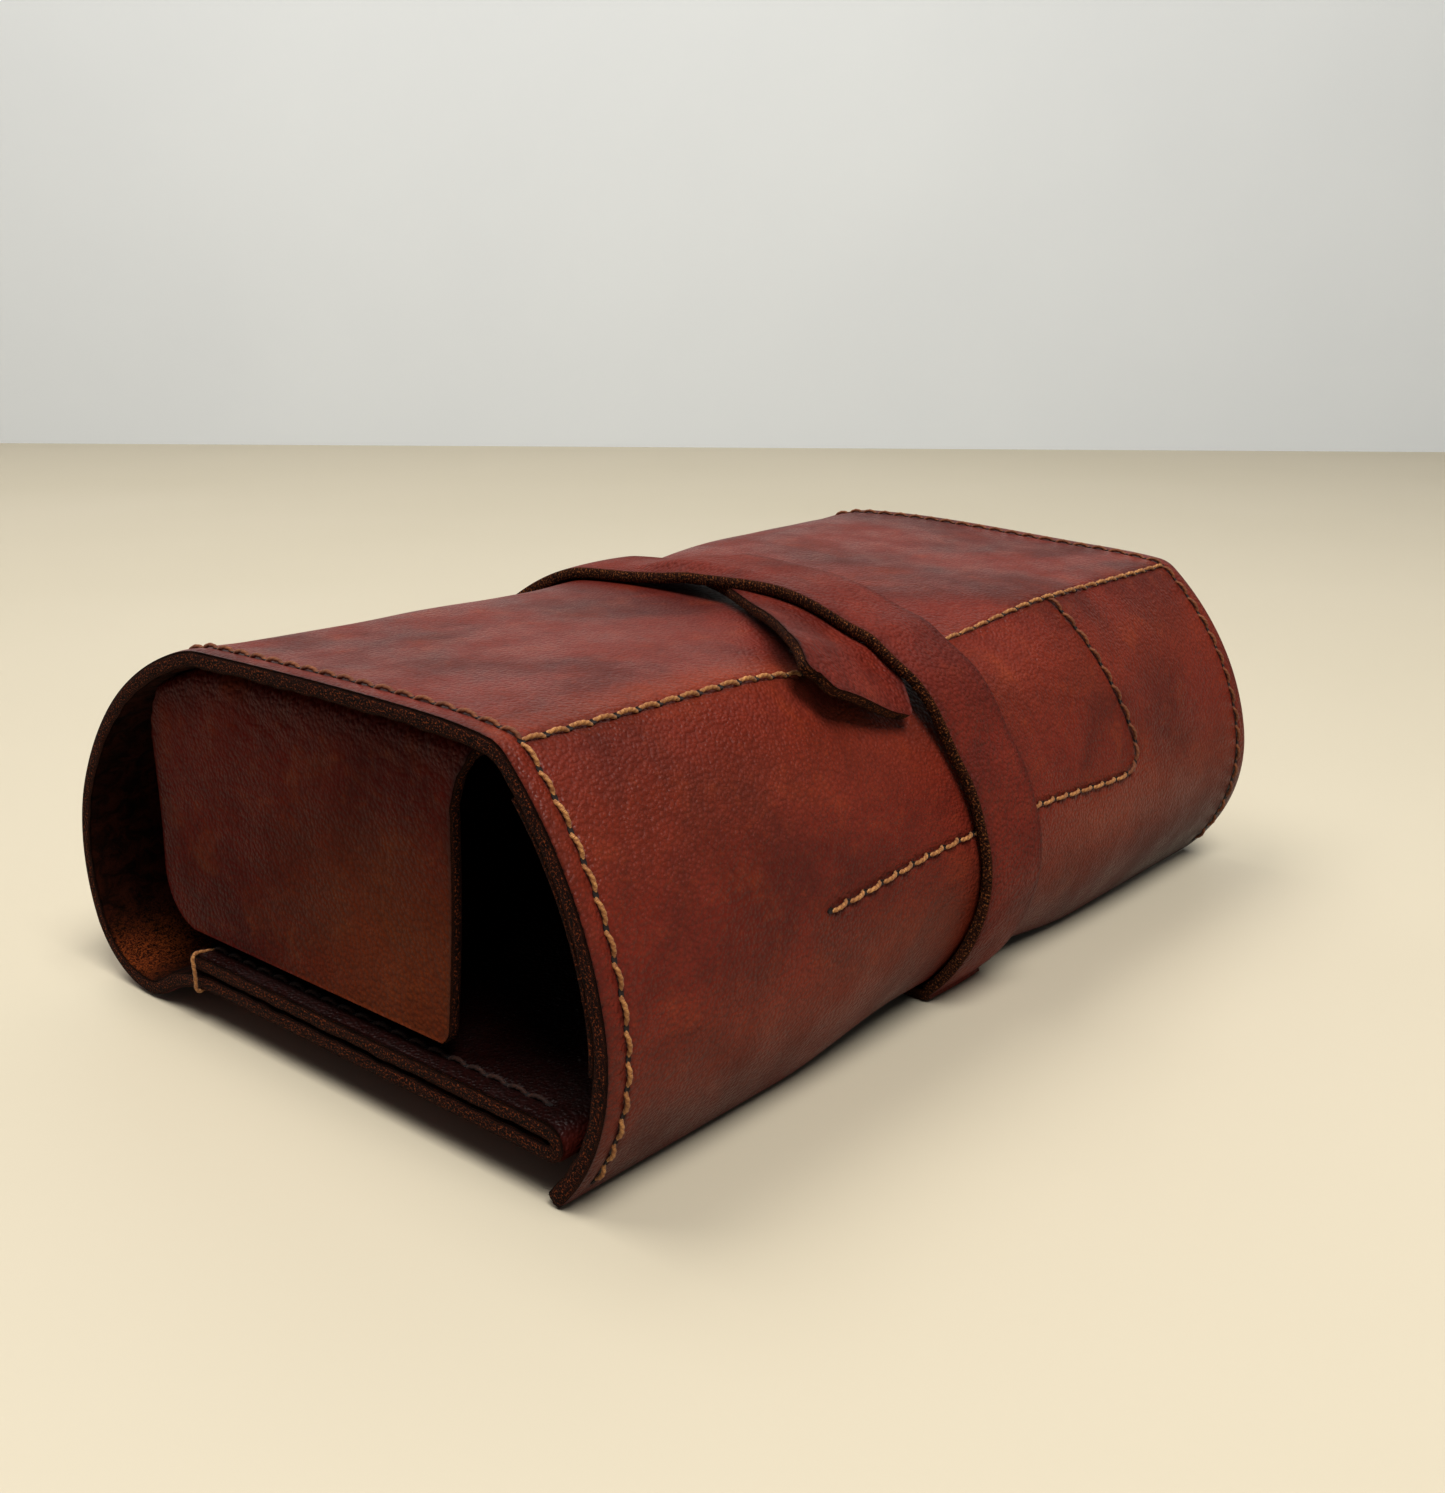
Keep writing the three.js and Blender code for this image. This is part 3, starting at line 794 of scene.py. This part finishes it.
def strap_press(offset, s):
    """How far the strap lies below that level, at an offset from its middle.

    Both its edges drape over the tail's hidden end, and away from the tail it lies closer to the hide.
    """
    near_drape = smooth(-5, -9, offset) * (0.6 * smooth(104, 136, s) + 0.3 * smooth(132, 142, s))
    far_drape = 0.9 * smooth(2, 8, offset) * smooth(131, 139, s)
    away_from_tail = 0.75 * smooth(136, 152, s) + 0.65 * smooth(52, 40, s)
    return (near_drape + far_drape) * strap_lift(s) + away_from_tail


def strap_ring(offset, lift):
    """A line of points once round the case, at an offset from the strap's middle.

    It goes round the hide's tip, over the case to its back corner, and flat back under it.
    """
    over_s = np.linspace(0, BACK_CORNER, 330)
    tip_angles = np.linspace(-math.pi / 2, math.radians(90 + TIP_HEADING) - 2 * math.pi, 9)[:-1]
    floor_steps = np.linspace(0, 1, 60)[1:-1]
    bend = np.tile(skin(strap_middle(0.0) + offset, 0.0), (len(tip_angles), 1))
    bend[:, 1] += lift * np.cos(tip_angles)
    bend[:, 2] += lift * np.sin(tip_angles)
    level = lift + strap_lift(over_s) - strap_press(offset, over_s)
    over = skin(strap_middle(over_s) + offset, over_s, level)
    over[-1, 2] = bend[0, 2]
    back = lerp(over[-1], bend[0], floor_steps[:, None])
    return np.concatenate([bend, over, back])


STRAP_EDGE_STEPS = (0.15, 0.38, 0.62, 0.85)  # lines down a cut edge, as shares of the thickness


def strap_edge(offset, noise):
    """The lines of points down one of the strap's cut edges, rounded and slightly rough."""
    lines = []
    for t in STRAP_EDGE_STEPS:
        swell = 0.3 * (1 - math.sin(math.pi * t))
        points = strap_ring(offset - math.copysign(swell, offset), STRAP_GAP + STRAP * (1 - t))
        points[:, 0] += noise.normal(size=len(points)) * 0.05
        lines.append(points)
    return np.array(lines)


def make_strap():
    """A closed band of leather round the case, in lines of points that each go once round it."""
    half = STRAP_WIDTH / 2
    across = np.linspace(-half + 0.3, half - 0.3, 26)
    crown = 0.25 * (1 - (across / half) ** 2) - 0.25
    top = np.array([strap_ring(a, STRAP_GAP + STRAP + c) for a, c in zip(across, crown)])
    low = np.array([strap_ring(a, STRAP_GAP) for a in across])
    noise = np.random.default_rng(5)
    far_edge = strap_edge(half, noise)
    near_edge = strap_edge(-half, noise)
    section = np.concatenate([top, far_edge, low[::-1], near_edge[::-1]])

    rows, count = section.shape[:2]
    i, j = np.meshgrid(np.arange(rows), np.arange(count), indexing="ij")
    index = i * count + j
    right = np.roll(index, -1, axis=0)
    faces = np.stack([index, right, np.roll(right, -1, axis=1), np.roll(index, -1, axis=1)], axis=-1)
    lines = len(across)
    low_start = lines + len(STRAP_EDGE_STEPS)
    kind = np.full(rows, CUT_EDGE)
    kind[:lines - 1] = GRAIN_SIDE
    kind[low_start:low_start + lines - 1] = FLESH_SIDE

    # The grain runs along the strap, and is shifted so that it differs from the case's.
    length = travelled(top[lines // 2])
    down_edge = np.arange(len(STRAP_EDGE_STEPS)) * 0.6
    side = np.concatenate([across, half + down_edge, across[::-1], -half - down_edge])
    grain_shift = 3.1
    uv = np.stack([np.repeat(side[:, None], count, 1), np.repeat(length[None, :], rows, 0)], axis=-1)
    uv = uv.reshape(-1, 2) / UV_TILE + grain_shift
    distance = np.repeat(half - np.abs(side), count)
    strap = make_object(
        "closing_strap", section.reshape(-1, 3), faces.reshape(-1, 4), STRAP_LEATHER,
        np.repeat(kind, count), uv, clean(distance))
    face_out(strap)
    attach(strap, "case")
    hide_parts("strap")


make_strap()


def bezier(points, u):
    """Places on a curve with these four control points, and its direction there."""
    u = np.asarray(u)[..., None]
    a, b, c, d = points
    place = a * (1 - u) ** 3 + 3 * b * u * (1 - u) ** 2 + 3 * c * u ** 2 * (1 - u) + d * u ** 3
    along = 3 * ((b - a) * (1 - u) ** 2 + 2 * (c - b) * u * (1 - u) + (d - c) * u ** 2)
    return place, along / np.linalg.norm(along, axis=-1, keepdims=True)


def make_tail():
    """The tail in one piece. Past the fold at the corner it stands off the case.

    share runs along it from its hidden end, with close steps at the cut end for the rounded corners.
    across runs from -1 to 1 over its width.
    """
    fine = np.linspace(0, 1, 2001)
    path, _ = bezier(TAIL_POINTS, fine)
    length = travelled(path)
    share = np.concatenate([np.linspace(0, 0.992, 150), [0.996, 1.0]])
    steps = np.interp(share * length[-1], length, fine)
    across = np.linspace(-1, 1, 40)
    middle, along = bezier(TAIL_POINTS, steps)
    half = lerp(TAIL_NARROW, TAIL_WIDE, share)[:, None] / 2
    offset = across[None, :] * (half - 0.3)
    rounded_share = 0.035
    into_corner = np.clip((share - 1 + rounded_share) / rounded_share, 0, 1)
    corner = 2.5 * (1 - np.sqrt(1 - into_corner ** 2))
    offset = offset - corner[:, None] * across[None, :] ** 3
    end = -TAIL_SLANT * across - TAIL_CORNER * smooth(0.5, 1, -across)
    slant = smooth(0.5, 1, share)[:, None] * end[None, :]
    x = middle[:, None, 0] - offset * along[:, None, 1] + slant * along[:, None, 0]
    s = middle[:, None, 1] + offset * along[:, None, 0] + slant * along[:, None, 1]
    past = TAIL_FOLD + TAIL_FOLD_SLOPE * (s - CORNER) - x
    droop = TAIL_DROOP * smooth(0, 22, past)

    def place(x, s, lift):
        """The grain side is slightly crowned and the flesh side is level."""
        crown = 0.25 * (1 - across[None, :] ** 2) - 0.25
        return skin(x, s, STRAP_GAP + STRAP + lift + droop + (crown if lift == 0 else 0))

    distance = np.minimum(half - np.abs(offset), ((1 - share) * length[-1])[:, None])
    tail = leather("strap_tail_strip", x, s, place, STRAP, STRAP_LEATHER, 0.3, values=clean(distance))
    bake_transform(tail)
    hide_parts("strap_tail", "strap_tail_root")


make_tail()


# ---- thread

THREAD_RADIUS = 0.43
THREAD_SLOT, HOLE_SLOT = range(2)  # material slots of every row of stitches


def twisted_tube(centres, up, radius, turns):
    """Points, faces, creases and UVs of a two-ply thread along centres. radius is one per centre."""
    sides = 12
    count = len(centres)
    tangent = np.gradient(centres, axis=0)
    tangent /= np.linalg.norm(tangent, axis=1)[:, None]
    across = np.cross(tangent, up)
    across /= np.linalg.norm(across, axis=1)[:, None]
    normal = np.cross(across, tangent)
    angle = np.arange(sides) / sides * 2 * math.pi
    twist = np.linspace(0, turns * math.pi, count)[:, None]
    ply = np.abs(np.cos(angle[None, :] - twist))
    reach = radius[:, None] * (0.74 + 0.26 * ply)
    ring = (
        centres[:, None, :]
        + across[:, None, :] * (reach * np.cos(angle))[..., None]
        + normal[:, None, :] * (reach * np.sin(angle))[..., None])
    i, j = np.meshgrid(np.arange(count - 1), np.arange(sides), indexing="ij")
    a = i * sides + j
    b = i * sides + (j + 1) % sides
    faces = np.stack([a, b, b + sides, a + sides], axis=-1).reshape(-1, 4).tolist()
    faces.append(list(range(sides))[::-1])
    faces.append(list(range((count - 1) * sides, count * sides)))
    length = travelled(centres)
    uv = np.stack(np.broadcast_arrays(length[:, None], angle[None, :] / 10), axis=-1).reshape(-1, 2)
    return ring.reshape(-1, 3), faces, (1 - ply).ravel(), uv / UV_TILE


class ThreadBuilder:
    """Collects stitches and holes into one object."""

    def __init__(self):
        self.points, self.faces, self.kinds, self.creases, self.uvs = [], [], [], [], []
        self.count = 0

    def add(self, points, faces, kind, crease, uv):
        self.points.append(points)
        self.faces += [[k + self.count for k in face] for face in faces]
        self.kinds += [kind] * len(faces)
        self.creases.append(crease)
        self.uvs.append(uv + self.count * 0.013)
        self.count += len(points)

    def stitch(self, start, end, slant):
        """One stitch between two holes, given as [x, s] on the hide."""
        t = np.linspace(-0.04, 1.04, 22)
        way = end - start
        side = np.array([-way[1], way[0]]) / np.linalg.norm(way)
        line = start + t[:, None] * way + side * (slant * (t[:, None] - 0.5))
        risen = np.clip(np.sin(math.pi * np.clip(t, 0, 1)), 0, 1)
        arch = 1.42 * risen ** 0.55 - 1.15
        centres = skin(line[:, 0], line[:, 1], arch)
        up = skin(line[:, 0], line[:, 1], arch + 1) - centres
        radius = THREAD_RADIUS * (0.8 + 0.2 * risen ** 0.5)
        points, faces, crease, uv = twisted_tube(centres, up, radius, 5.0)
        self.add(points, faces, THREAD_SLOT, crease, uv)

    def hole(self, place, along):
        """An awl slit pressed into the leather, dark with painted shade."""
        angle = np.linspace(0, 2 * math.pi, 14, endpoint=False)
        way = along / np.linalg.norm(along)
        side = np.array([-way[1], way[0]])
        rim = place + way * (0.78 * np.cos(angle))[:, None] + side * (0.5 * np.sin(angle))[:, None]
        top = skin(rim[:, 0], rim[:, 1], -0.12)
        low = skin(rim[:, 0], rim[:, 1], -1.2)
        n = len(angle)
        faces = [[k, (k + 1) % n, n + (k + 1) % n, n + k] for k in range(n)]
        faces += [list(range(n)), list(range(n, 2 * n))[::-1]]
        uv = np.concatenate([rim, rim]) / UV_TILE
        self.add(np.concatenate([top, low]), faces, HOLE_SLOT, np.zeros(2 * n), uv)

    def row(self, path, slant, noise):
        """Stitches of even length along a path of [x, s] points."""
        path = np.asarray(path, float)
        space = skin(path[:, 0], path[:, 1])
        length = travelled(space)
        stitches = max(1, round(length[-1] / PITCH))
        marks = np.linspace(0, length[-1], stitches + 1)
        marks[1:-1] += noise.normal(size=stitches - 1) * 0.12
        holes = np.stack([np.interp(marks, length, path[:, k]) for k in (0, 1)], axis=-1)
        for start, end in zip(holes, holes[1:]):
            self.stitch(start, end, slant + noise.normal() * 0.12)
        for k, place in enumerate(holes):
            self.hole(place, holes[min(k + 1, stitches)] - holes[max(k - 1, 0)])

    def make(self, name, material):
        return make_object(
            name, np.concatenate(self.points), self.faces, [material, HOLE_SHADE], self.kinds,
            np.concatenate(self.uvs), {"crease": np.concatenate(self.creases)})


def sew(node, path, slant, material=THREAD):
    """Sews the row of stitches that stands for a thread of the CAD model."""
    builder = ThreadBuilder()
    builder.row(path, slant, np.random.default_rng(len(node) * 31 + len(path)))
    row = builder.make(node.replace("thread", "stitches"), material)
    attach(row, "case")
    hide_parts(node)


def sew_all():
    for end, x, front_thread in (("near", SEAM_INSET, THREAD), ("far", LENGTH - SEAM_INSET, DARKER_THREAD)):
        sew(f"thread_{end}_front", line(x, x, 6, SEAM), 0.55, front_thread)
        sew(f"thread_{end}_top", line(x, x, SEAM, TOP_END), 0.55, DARKER_THREAD)
        # The pocket rows take the thread darkened with painted shade.
        sew(f"thread_{end}_pocket", line(x, x, POCKET_START + 4, HIDE_LENGTH - 2), 0.4, SHADED_THREAD)
    sew("thread_long_seam", line(SEAM_INSET, LENGTH - SEAM_INSET, SEAM, SEAM), -0.55)
    side, bottom = slip_path()
    sew("thread_slip_side", side, 0.5, DARKER_THREAD)
    sew("thread_slip_bottom", bottom, 0.5)


sew_all()


def make_loop(end, side):
    """The whipped loop that holds the pocket's mouth at one end of the case."""
    low, high = (np.array(corner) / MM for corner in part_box(f"thread_{end}_loop"))
    outer_x, inner_x = (high[0], low[0]) if side > 0 else (low[0], high[0])
    face_x = outer_x - side * 0.45
    y = (low[1] + high[1]) / 2
    top_z, low_z = high[2] - 0.9, low[2] + 0.9
    radius = 1.2
    angle = np.linspace(0, math.pi / 2, 8)
    ending = radius * (1 - np.sin(angle))
    starting = radius * (1 - np.cos(angle))
    top = np.stack([face_x - side * ending, top_z - starting], axis=-1)
    base = np.stack([face_x - side * starting, low_z + ending], axis=-1)
    outline = np.concatenate([[[inner_x, top_z - 0.6]], top, base, [[inner_x, low_z + 0.6]]])
    length = travelled(outline)
    marks = np.linspace(0, length[-1], 46)
    x, z = (np.interp(marks, length, outline[:, k]) for k in (0, 1))
    centres = np.stack([x, y + 0.25 * np.sin(marks * 0.5), z], axis=-1)
    up = np.tile([0.0, 1.0, 0.0], (len(marks), 1))
    radii = np.full(len(marks), THREAD_RADIUS * 0.95)
    points, faces, crease, uv = twisted_tube(centres, up, radii, 12.0)
    loop = make_object(
        f"{end}_loop_thread", points, faces, [THREAD], uv=uv, values={"crease": crease})
    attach(loop, "case")
    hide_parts(f"thread_{end}_loop")


for end_name, end_side in ENDS:
    make_loop(end_name, end_side)


# ---- loose fibres on the cut edges

FIBRE_STEPS = 5
FIBRE_SIDES = 3
FIBRE_POINTS = FIBRE_STEPS * FIBRE_SIDES


def fibre(root, way, noise):
    """Points of one short curved fibre: a line of them down each of its three sides."""
    length = noise.uniform(0.4, 1.2)
    bend = noise.normal(size=3) * 0.45
    t = np.linspace(0, 1, FIBRE_STEPS)[:, None]
    centre = root + way * t * length + bend * length * t ** 2
    width = 0.055 * (1 - 0.75 * t)
    lines = []
    for side in range(FIBRE_SIDES):
        angle = side * 2 * math.pi / FIBRE_SIDES
        offset = np.array([math.cos(angle), math.sin(angle), 0.4 * math.sin(angle + 1)])
        lines.append(centre + offset * width)
    return np.concatenate(lines)


def fibre_faces(first):
    """Faces of one closed fibre whose first point has this number."""
    faces = []
    for side in range(FIBRE_SIDES):
        a = first + side * FIBRE_STEPS
        b = first + (side + 1) % FIBRE_SIDES * FIBRE_STEPS
        faces += [[a + k, b + k, b + k + 1, a + k + 1] for k in range(FIBRE_STEPS - 1)]
    tip = first + FIBRE_STEPS - 1
    faces.append([first + side * FIBRE_STEPS for side in (0, 2, 1)])
    faces.append([tip + side * FIBRE_STEPS for side in (0, 1, 2)])
    return faces


def make_tip_fibres():
    """Loose fibres along the cut edge at the bottom front tip, except under the strap."""
    noise = np.random.default_rng(9)
    x = np.concatenate([noise.uniform(0.2, 2.5, 16), noise.uniform(0, LENGTH, 150)])
    lift = -noise.uniform(0.4, HIDE - 0.4, len(x))
    root = skin(x, np.zeros(len(x)) + 0.1, lift)
    way = root - skin(x, np.zeros(len(x)) + 1.1, lift)
    way[:, 0] += noise.normal(size=len(x)) * 0.5
    root[:, 2] = np.maximum(root[:, 2], 0.5)
    way[:, 2] = np.maximum(way[:, 2], 0.05)
    keep = np.abs(x - STRAP_MIDDLE) > STRAP_WIDTH / 2 + 2

    noise = np.random.default_rng(21)
    points, faces, uvs = [], [], []
    for start, direction in zip(root[keep], way[keep]):
        faces += fibre_faces(len(points) * FIBRE_POINTS)
        points.append(fibre(start, direction, noise))
        uvs.append(np.tile(start[:2] / UV_TILE, (FIBRE_POINTS, 1)))
    fibres = make_object("tip_fibres", np.concatenate(points), faces, [EDGE], uv=np.concatenate(uvs))
    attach(fibres, "case")


make_tip_fibres()


# ---- studio

def make_backdrop():
    """A plain pale floor that ends at a plain wall square to the camera's view. Metres."""
    floor = Graph("studio_floor")
    floor_color = floor.mix(floor.noise(300, detail=2), color(190, 181, 160), color(196, 187, 168))
    floor_normal = floor.bump(floor.noise(2, detail=2), 0.05, 0.1)
    floor_material = floor.finish(floor_color, 0.55, floor_normal, Specular_IOR_Level=0.3)
    wall = Graph("studio_wall")
    wall_color = wall.mix(wall.noise(300), color(226, 229, 230), color(218, 221, 223))
    wall_material = wall.finish(wall_color, 0.9, wall.bump(wall.noise(5), 0.02, 0.1))
    toward = np.array([0.774, 0.633])
    side = np.array([-toward[1], toward[0]])
    near, far, wide, high = -3, 1.15, 4, 4
    sheets = (
        ("floor", floor_material, [(near, -wide, 0), (far, -wide, 0), (far, wide, 0), (near, wide, 0)]),
        ("wall", wall_material, [(far, -wide, 0), (far, -wide, high), (far, wide, high), (far, wide, 0)]),
    )
    for name, material, corners in sheets:
        points = [[*(toward * along + side * across) / MM, up / MM] for along, across, up in corners]
        uv = [[(along + up) / MM / UV_TILE, across / MM / UV_TILE] for along, across, up in corners]
        make_object(name, points, [[0, 1, 2, 3]], [material], uv=uv)


def lamp(name, place, target, size, power, tint):
    """A soft rectangular lamp that shines at a target. Metres and watts."""
    light = bpy.data.objects.new(name, bpy.data.lights.new(name, "AREA"))
    light.data.shape = "RECTANGLE"
    light.data.size, light.data.size_y = size
    light.data.energy = power
    light.data.color = tint
    light.location = place
    light.rotation_euler = (Vector(target) - Vector(place)).to_track_quat("-Z", "Y").to_euler()
    bpy.context.scene.collection.objects.link(light)


def make_lights():
    """Two soft lamps above the case, a weak even world, and plain colours."""
    lamp("window", (-0.3, 0.7, 1.6), (0, 0, 0.03), (1.2, 0.8), 19, (1.0, 0.98, 0.95))
    lamp("soft_top", (-0.35, -0.75, 1.6), (0, 0, 0), (0.8, 0.8), 36, (1.0, 0.99, 0.97))
    world = bpy.data.worlds.new("studio")
    bpy.context.scene.world = world
    world.use_nodes = True
    background = world.node_tree.nodes["Background"]
    background.inputs["Color"].default_value = (0.92, 0.95, 1.0, 1)
    background.inputs["Strength"].default_value = 0.14
    bpy.context.scene.view_settings.view_transform = "Standard"
    bpy.context.scene.view_settings.gamma = 0.88


make_backdrop()
make_lights()
